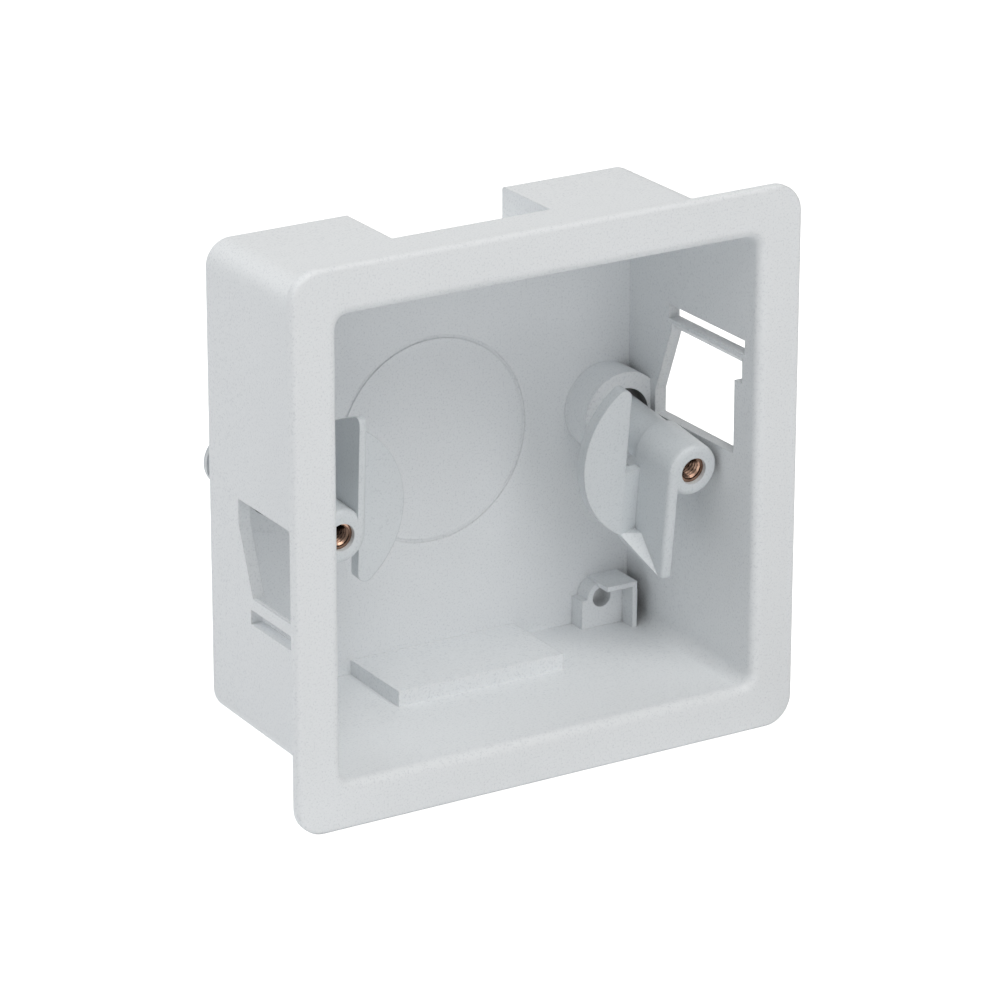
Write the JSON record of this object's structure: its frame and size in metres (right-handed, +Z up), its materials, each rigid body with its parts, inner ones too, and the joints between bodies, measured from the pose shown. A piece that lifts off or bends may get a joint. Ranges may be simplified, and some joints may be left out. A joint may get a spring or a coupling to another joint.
{
  "type": "drywall back box",
  "caption": "Square flanged back box for plasterboard, with swinging lugs that grip behind the board and carry brass threaded inserts.",
  "frame": {"origin": "centre of the opening on the back plane of the flange, where the face of the wall lies", "axes": "+X right seen from the room, +Y into the wall, +Z up as mounted"},
  "size_m": [0.085, 0.0432, 0.085],
  "materials": {
    "plastic": "satin",
    "brass": "turned"
  },
  "bodies": {
    "box": {"box_body": "plastic"},
    "insert_left": {"insert_left": "brass"},
    "lug_left": {"lug_left": "plastic"},
    "insert_right": {"insert_right": "brass"},
    "lug_right": {"lug_right": "plastic"}
  },
  "joints": [
    {"name": "lug_left_draw", "type": "slide", "parent": "box", "child": "insert_left", "axis": [0, -0.9986, -0.0523], "range_m": [-0.003, 0.0038]},
    {"name": "lug_left_swivel", "type": "hinge", "parent": "insert_left", "child": "lug_left", "pos_m": [-0.03015, 0.03075, 0], "axis": [0, 0.9986, 0.0523], "range_deg": [-24, 172]},
    {"name": "lug_right_draw", "type": "slide", "parent": "box", "child": "insert_right", "axis": [0, -0.9925, -0.1219], "range_m": [-0.003, 0.0038]},
    {"name": "lug_right_swivel", "type": "hinge", "parent": "insert_right", "child": "lug_right", "pos_m": [0.03015, 0.03075, 0], "axis": [0, 0.9925, 0.1219], "range_deg": [-24, 178]}
  ]
}
